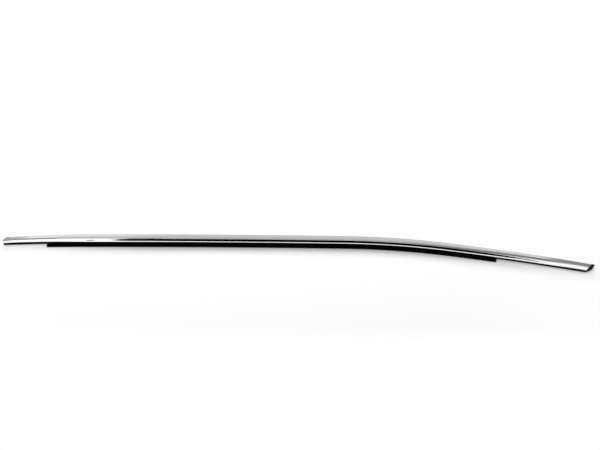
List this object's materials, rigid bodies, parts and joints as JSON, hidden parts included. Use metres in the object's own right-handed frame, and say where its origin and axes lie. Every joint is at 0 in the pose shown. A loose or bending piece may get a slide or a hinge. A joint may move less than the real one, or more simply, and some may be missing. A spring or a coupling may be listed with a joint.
{
  "type": "car body side moulding",
  "caption": "Long curved car side moulding: bright two-facet metal trim crimped over a black rubber carrier with a wiper lip, and a moulded end cap.",
  "frame": {"origin": "on the flat back of the rubber carrier, at mid-length and mid-width of the trim strip", "axes": "+X along the strip at mid-length, towards the end with the moulded cap; +Y away from the wiper lip, towards the channel's mouth; +Z out of the back, towards the bright face"},
  "size_m": [0.9387, 0.0577, 0.008],
  "materials": {
    "bright_trim": "polished bright metal",
    "rubber": "satin black extruded rubber",
    "cap_plastic": "moulded black plastic, low sheen"
  },
  "bodies": {
    "root": {"trim_strip": "bright_trim", "rubber_carrier": "rubber", "end_cap": "cap_plastic"}
  },
  "joints": []
}
